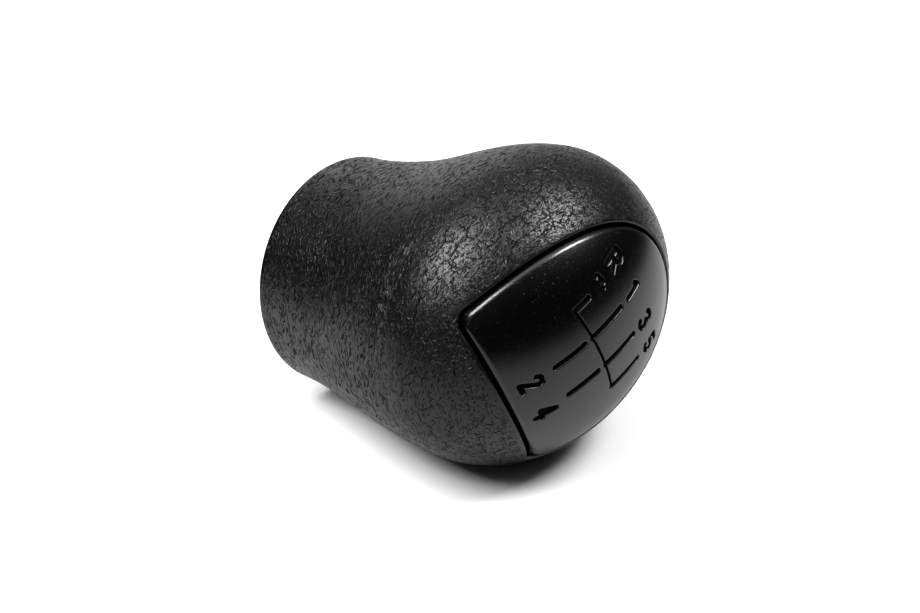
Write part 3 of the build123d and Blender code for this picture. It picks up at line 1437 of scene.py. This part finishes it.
@dataclass
class PatternInsert:
    """The smooth domed plate with the engraved shift pattern, rounded edge and snap legs."""

    columns: int = 420
    edge_rounding: float = 1.4
    edge_steps: int = 8
    engraving_depth: float = 0.5
    contour_grid: float = 0.07
    fill_spacing: float = 0.9
    merge_reach: float = 1e-6
    crease: float = 60.0
    leg_outer: float = 12.25
    leg_thickness: float = 1.6
    leg_width: float = 5.0
    leg_spread: float = 10.0
    leg_centre: float = -0.2
    catch_height: float = 48.0
    hook_reach: float = 0.9
    hook_height: float = 2.4
    hook_land: float = 0.6
    pattern: ShiftPattern = ShiftPattern()
    stroke_wall: tuple[tuple[float, float], ...] = (
        (-0.14, 1.0),
        (-0.07, 1.0),
        (0.0, 0.27),
        (0.06, 0.06),
        (0.12, 0.0),
        (0.25, 0.0),
    )
    turn: Array = field(init=False)

    def __post_init__(self) -> None:
        """Works out the angles of the columns."""
        self.turn = turns(self.columns)

    def engraved_share(self, distance: Array) -> Array:
        """Share of the engraving's depth at a distance from a stroke's edge, by the section of its wall."""
        edges, shares = zip(*self.stroke_wall)
        return np.interp(distance, edges, shares)

    def edge_rings(self) -> list[Array]:
        """Rings of the rounded edge and the side wall.

        Returns:
            The rings, from the top face outwards and down.
        """
        wall_x, wall_y = OUTLINE.ring(0.0, self.turn)
        across, along = OUTLINE.normal(wall_x, wall_y)
        fall = FORM.dome_slope(wall_x, wall_y, across, along)
        reach = self.edge_rounding * (1 - np.sin(fall))
        start = wall_x - reach * across, wall_y - reach * along
        rings = rounding(start, (across, along), fall, self.edge_rounding, self.edge_steps, 1)
        return [*rings, np.stack([wall_x, wall_y, FORM.dome_height(wall_x, wall_y, INSERT_THICKNESS)], -1)]

    def fill_points(self, ring: Array, spacing: float) -> Array:
        """Even points in plan inside a ring, clear of its edge.

        Args:
            ring: The ring.
            spacing: Distance between the points.

        Returns:
            The points in plan.
        """
        x, y = np.meshgrid(
            np.arange(ring[:, 0].min(), ring[:, 0].max(), spacing),
            np.arange(ring[:, 1].min(), ring[:, 1].max(), spacing),
        )
        x, y = x.ravel(), y.ravel()
        clear = OUTLINE.distance(x, y) < -self.edge_rounding - spacing / 2
        return np.stack([x[clear], y[clear]], -1)

    def pattern_lines(self) -> tuple[Array, Array]:
        """Lines along the strokes' walls.

        Returns:
            Their points, and the pairs of points that are joined.
        """
        pattern = self.pattern
        far = pattern.outer_column + pattern.sign_height
        x = np.arange(-far, far, self.contour_grid)
        front = OUTLINE.half_length + OUTLINE.centre - 2 * self.edge_rounding
        y = np.arange(OUTLINE.back, front, self.contour_grid)
        distance = pattern.distance(*np.meshgrid(x, y, indexing="ij"))
        points, pairs, count = [], [], 0
        for edge, _ in self.stroke_wall:
            line, joined = contour(distance, edge, x, y)
            points.append(line)
            pairs.append(joined + count)
            count += len(line)
        return np.concatenate(points), np.concatenate(pairs)

    def face(self, ring: Array, fill: Array, lines: tuple[Array, Array] | None) -> tuple[Array, list]:
        """Triangles in plan inside a ring.

        Args:
            ring: The ring that bounds the face.
            fill: Points to add inside it.
            lines: Points and joined pairs that the triangles follow, if any.

        Returns:
            The points in plan, the ring's first, and the triangles.
        """
        around = np.arange(len(ring))
        points, pairs = [ring[:, :2], fill], [np.stack([around, np.roll(around, -1)], -1)]
        if lines is not None:
            pairs.append(lines[1] + len(ring) + len(fill))
            points.append(lines[0])
        flat = np.concatenate(points)
        edges = np.concatenate(pairs).tolist()
        made = delaunay_2d_cdt([Vector(p) for p in flat], edges, [], 0, self.merge_reach)
        places = np.array([tuple(p) for p in made[0]])
        order = {old: new for new, olds in enumerate(made[3]) for old in olds}
        ahead = [order[i] for i in around.tolist()]
        taken = set(ahead)
        behind = [i for i in range(len(places)) if i not in taken]
        rank = np.empty(len(places), int)
        rank[ahead + behind] = np.arange(len(places))
        return places[ahead + behind], [[int(rank[c]) for c in face] for face in made[2]]

    def legs(self) -> bpy.types.Object:
        """The snap legs under the plate, each with a hook at its foot.

        Returns:
            The legs, as a tool.
        """
        outer, inner, catch = self.leg_outer, self.leg_outer - self.leg_thickness, self.catch_height
        foot = catch - self.hook_height
        hook = outer + self.hook_reach
        land = catch - self.hook_land
        profile = [(inner, foot), (outer, foot), (hook, land), (hook, catch), (outer, catch)]
        points, faces = [], []
        for side in (-1, 1):
            for station in (-1, 1):
                first = len(points)
                middle = self.leg_centre + station * self.leg_spread / 2
                for end in (-1, 1):
                    y = middle + end * self.leg_width / 2
                    rise = {x: float(FORM.dome_height(x, y, INSERT_THICKNESS / 2)) for x in (outer, inner)}
                    points += [(side * x, y, z) for x, z in [*profile, *rise.items()]]
                count = len(profile) + 2
                near, far = range(first, first + count), range(first + count, first + 2 * count)
                # Each end of a leg is closed in two parts, the leg and its hook
                for part in ((0, 1, 4, 5, 6), (1, 2, 3, 4)):
                    faces += [[near[i] for i in part], [far[i] for i in reversed(part)]]
                faces += [[near[i - 1], far[i - 1], far[i], near[i]] for i in range(count)]
        return new_piece("legs", np.array(points), faces)

    def build(self) -> bpy.types.Object:
        """Builds and dresses the insert.

        Returns:
            The finished piece.
        """
        rings = self.edge_rings()
        lines = self.pattern_lines()
        fill = self.fill_points(rings[0], self.fill_spacing)
        fill = fill[self.pattern.distance(fill[:, 0], fill[:, 1]) > self.fill_spacing / 2]
        flat, top_faces = self.face(rings[0], fill, lines)
        share = self.engraved_share(self.pattern.distance(flat[:, 0], flat[:, 1]))
        high = FORM.dome_height(flat[:, 0], flat[:, 1])
        low = FORM.dome_height(flat[:, 0], flat[:, 1], self.engraving_depth)
        top = np.column_stack([flat, high + share * (low - high)])
        under_fill = self.fill_points(rings[-1], 2 * self.fill_spacing)
        under_flat, under_faces = self.face(rings[-1], under_fill, None)
        under = np.column_stack([under_flat, FORM.dome_height(*under_flat.T, INSERT_THICKNESS)])
        points = [top, *rings[1:-1], under]
        starts = np.cumsum([0] + [len(p) for p in points])[:-1].tolist()
        faces = list(top_faces)
        here = np.arange(self.columns)
        after = np.roll(here, -1)
        for upper, lower in zip(starts, starts[1:]):
            faces += np.stack([upper + here, lower + here, lower + after, upper + after], -1).tolist()
        faces += [[starts[-1] + c for c in reversed(face)] for face in under_faces]
        piece = new_piece("satin_pattern_insert", np.concatenate(points), faces)
        set_layer(piece, Layer.ENGRAVED, np.concatenate([share, np.zeros(sum(len(p) for p in points[1:]))]))
        fuse(piece, self.legs(), Fuse.ADD)
        piece.data.materials.clear()
        piece.data.materials.append(SatinPlastic().material())
        shade_smooth(piece, self.crease)
        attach(piece, "root")
        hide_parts(CadNode.INSERT.value)
        return piece


@dataclass
class LeverSleeve:
    """The bush inside the neck that grips the lever, kept as it was modelled."""

    node: CadNode = CadNode.SLEEVE

    def build(self) -> bpy.types.Object:
        """Dresses the sleeve.

        Returns:
            The finished piece.
        """
        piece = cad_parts[self.node.value]
        piece.data.materials.clear()
        piece.data.materials.append(SleevePlastic().material())
        return piece


@dataclass(frozen=True)
class Softbox:
    """A square soft light, placed by its direction from the knob in degrees."""

    name: str
    turn: float
    height: float
    size: float
    brightness: float
    distance: float = 0.8


@dataclass(frozen=True)
class Glow:
    """A soft patch of bright sky, placed by its direction in degrees; a higher sharpness makes it smaller."""

    turn: float
    height: float
    sharpness: float
    brightness: float


@dataclass
class Studio:
    """Pale floor that the knob lies on, soft lights, and the camera."""

    floor_up: tuple[float, float, float] = (-0.919, 0.371, 0.131)
    floor_right: tuple[float, float] = (-0.11, 0.5)
    floor_away: tuple[float, float] = (-0.34, 0.6)
    # Painted pool of light: the light that the floor bounces dims towards the camera side and further from
    # the knob.
    floor_pool_fade: tuple[float, float] = (-0.31, 0.0)
    floor_pool_reach: tuple[float, float] = (0.6, 0.1)
    floor_shade: float = 0.475
    floor_exposure: float = 1.59
    # Painted contact shadow on the floor: darker where the pieces crowd it, by ambient occlusion.
    painted_shadow_reach: float = 0.0035
    painted_shadow_shade: float = 0.25
    painted_shadow_samples: int = 8
    camera_place: tuple[float, float, float] = (-233.988, -150.712, 282.749)
    camera_turn: tuple[float, float, float] = (-19.0647, -44.4486, 59.0562)
    focal_pixels: float = 2262.35
    image_width: int = 920
    sensor_width: float = 36.0
    clip: tuple[float, float] = (0.01, 20.0)
    sky: float = 0.01
    softboxes: tuple[Softbox, ...] = (
        Softbox("left_softbox", 206.0, 54.0, 0.44, 18.0),
        Softbox("right_softbox", 357.0, 56.0, 0.28, 35.0),
    )
    glows: tuple[Glow, ...] = (
        Glow(0.0, 90.0, 12.0, 2.15),
        Glow(105.0, 18.0, 24.0, 2.1),
        Glow(78.0, 4.0, 24.0, 0.8),
        Glow(225.0, 55.0, 12.0, 0.7),
        Glow(45.0, 55.0, 12.0, 0.4),
    )

    def axes(self) -> tuple[Vector, Vector, Vector]:
        """Directions of the studio, with the floor level.

        Returns:
            Right, away from the camera and up.
        """
        up = Vector(self.floor_up).normalized()
        ahead = Euler([math.radians(a) for a in self.camera_turn]).to_matrix() @ Vector((0, 0, -1))
        away = (ahead - ahead.dot(up) * up).normalized()
        return away.cross(up), away, up

    def camera(self) -> None:
        """Sets the camera where the photograph was taken from."""
        data = bpy.data.cameras.new("camera")
        data.sensor_width = self.sensor_width
        data.lens = self.focal_pixels * self.sensor_width / self.image_width
        data.clip_start, data.clip_end = self.clip
        camera = bpy.data.objects.new("camera", data)
        camera.location = Vector(self.camera_place) * MM
        camera.rotation_euler = [math.radians(a) for a in self.camera_turn]
        bpy.context.scene.collection.objects.link(camera)
        bpy.context.scene.camera = camera

    def floor(self, pieces: Sequence[bpy.types.Object]) -> None:
        """Lays the floor under the pieces' lowest point; it is seen through from below, and carries a painted
        contact shadow and a painted pool of bounced light.

        Args:
            pieces: The pieces that lie on it.
        """
        right, away, up = self.axes()
        lowest = min(vertex.co.dot(up) for piece in pieces for vertex in piece.data.vertices)
        (x0, x1), (y0, y1) = self.floor_right, self.floor_away
        corners = [x * right + y * away + lowest * up for x, y in ((x0, y0), (x1, y0), (x1, y1), (x0, y1))]
        mesh = bpy.data.meshes.new("floor")
        mesh.from_pydata(corners, [], [(0, 1, 2, 3)])
        floor = bpy.data.objects.new("floor", mesh)
        bpy.context.scene.collection.objects.link(floor)
        material = bpy.data.materials.new("pale_floor")
        material.use_nodes = True
        graph = Graph(material.node_tree)
        behind = graph.add("ShaderNodeNewGeometry", None, None, "Backfacing")
        looked_at = graph.add("ShaderNodeLightPath", None, None, "Is Camera Ray")
        place = graph.add("ShaderNodeTexCoord", None, None, "Object")
        # Painted pool of light: the floor's bounced colour fades towards the camera side and away from the
        # knob, which the camera itself doesn't see.
        painted_light_pool = graph.vector("DOT_PRODUCT", place, tuple(away), output="Value").smooth(*self.floor_pool_fade)
        painted_light_pool = painted_light_pool * graph.vector("LENGTH", place, output="Value").smooth(*self.floor_pool_reach)
        bounced = graph.colour(painted_light_pool, grey(0.0), grey(self.floor_shade))
        # Painted shadow: the floor's seen colour falls towards the dark shade where the pieces are close by.
        samples, reach = {"samples": self.painted_shadow_samples}, {"Distance": self.painted_shadow_reach}
        open_sky = graph.add("ShaderNodeAmbientOcclusion", samples, reach, "AO")
        bright = grey(self.floor_shade * self.floor_exposure)
        viewed = graph.colour(open_sky, grey(self.painted_shadow_shade), bright)
        pale = graph.add("ShaderNodeBsdfDiffuse", None, {"Color": graph.colour(looked_at, bounced, viewed)})
        clear = graph.add("ShaderNodeBsdfTransparent")
        seen = graph.add("ShaderNodeMixShader", None, {0: behind, 1: pale, 2: clear})
        graph.end(seen)
        mesh.materials.append(material)

    def towards(self, turn: float, height: float) -> Vector:
        """Direction from the knob.

        Args:
            turn: The turn from the right, in degrees.
            height: The height over the floor, in degrees.

        Returns:
            The direction.
        """
        right, away, up = self.axes()
        turn, height = math.radians(turn), math.radians(height)
        return math.cos(height) * (math.cos(turn) * right + math.sin(turn) * away) + math.sin(height) * up

    def lights(self) -> None:
        """Hangs the softboxes round the knob."""
        middle = Vector((0, 0, FORM.head_height * MM))
        for box in self.softboxes:
            towards = self.towards(box.turn, box.height)
            data = bpy.data.lights.new(box.name, "AREA")
            data.shape, data.size = "SQUARE", box.size
            data.energy = box.brightness * math.pi * box.size**2
            light = bpy.data.objects.new(box.name, data)
            light.location = middle + box.distance * towards
            light.rotation_mode = "QUATERNION"
            light.rotation_quaternion = towards.to_track_quat("Z", "Y")
            bpy.context.scene.collection.objects.link(light)

    def surround(self) -> None:
        """Sets a dark room with soft glows, which is white to look at."""
        world = bpy.data.worlds.new("studio")
        world.use_nodes = True
        bpy.context.scene.world = world
        graph = Graph(world.node_tree)
        direction = graph.add("ShaderNodeTexCoord", None, None, "Generated")
        strength: Wire | float = self.sky
        for glow in self.glows:
            towards = tuple(self.towards(glow.turn, glow.height))
            along = graph.vector("DOT_PRODUCT", direction, towards, output="Value")
            strength = strength + graph.math("EXPONENT", (along - 1.0) * glow.sharpness) * glow.brightness
        sky = graph.add("ShaderNodeBackground", None, {"Color": grey(1.0), "Strength": strength})
        seen = graph.add("ShaderNodeBackground", None, {"Color": grey(1.0), "Strength": 1.0})
        looked_at = graph.add("ShaderNodeLightPath", None, None, "Is Camera Ray")
        both = graph.add("ShaderNodeMixShader", None, {0: looked_at, 1: sky, 2: seen})
        graph.add("ShaderNodeOutputWorld", None, {"Surface": both})

    def build(self, pieces: Sequence[bpy.types.Object]) -> None:
        """Sets up the studio round the pieces.

        Args:
            pieces: The knob's pieces.
        """
        self.camera()
        self.floor(pieces)
        self.lights()
        self.surround()
        bpy.context.scene.view_settings.view_transform = "Standard"


def main() -> None:
    """Builds and dresses the knob's pieces, then the studio round them."""
    logging.basicConfig(level=logging.INFO, format="%(message)s")
    pieces = []
    for maker in (GripBody(), PatternInsert(), LeverSleeve()):
        piece = maker.build()
        pieces.append(piece)
        LOG.info("%s: %d faces", piece.name, len(piece.data.polygons))
    Studio().build(pieces)


if __name__ == "__main__":
    main()
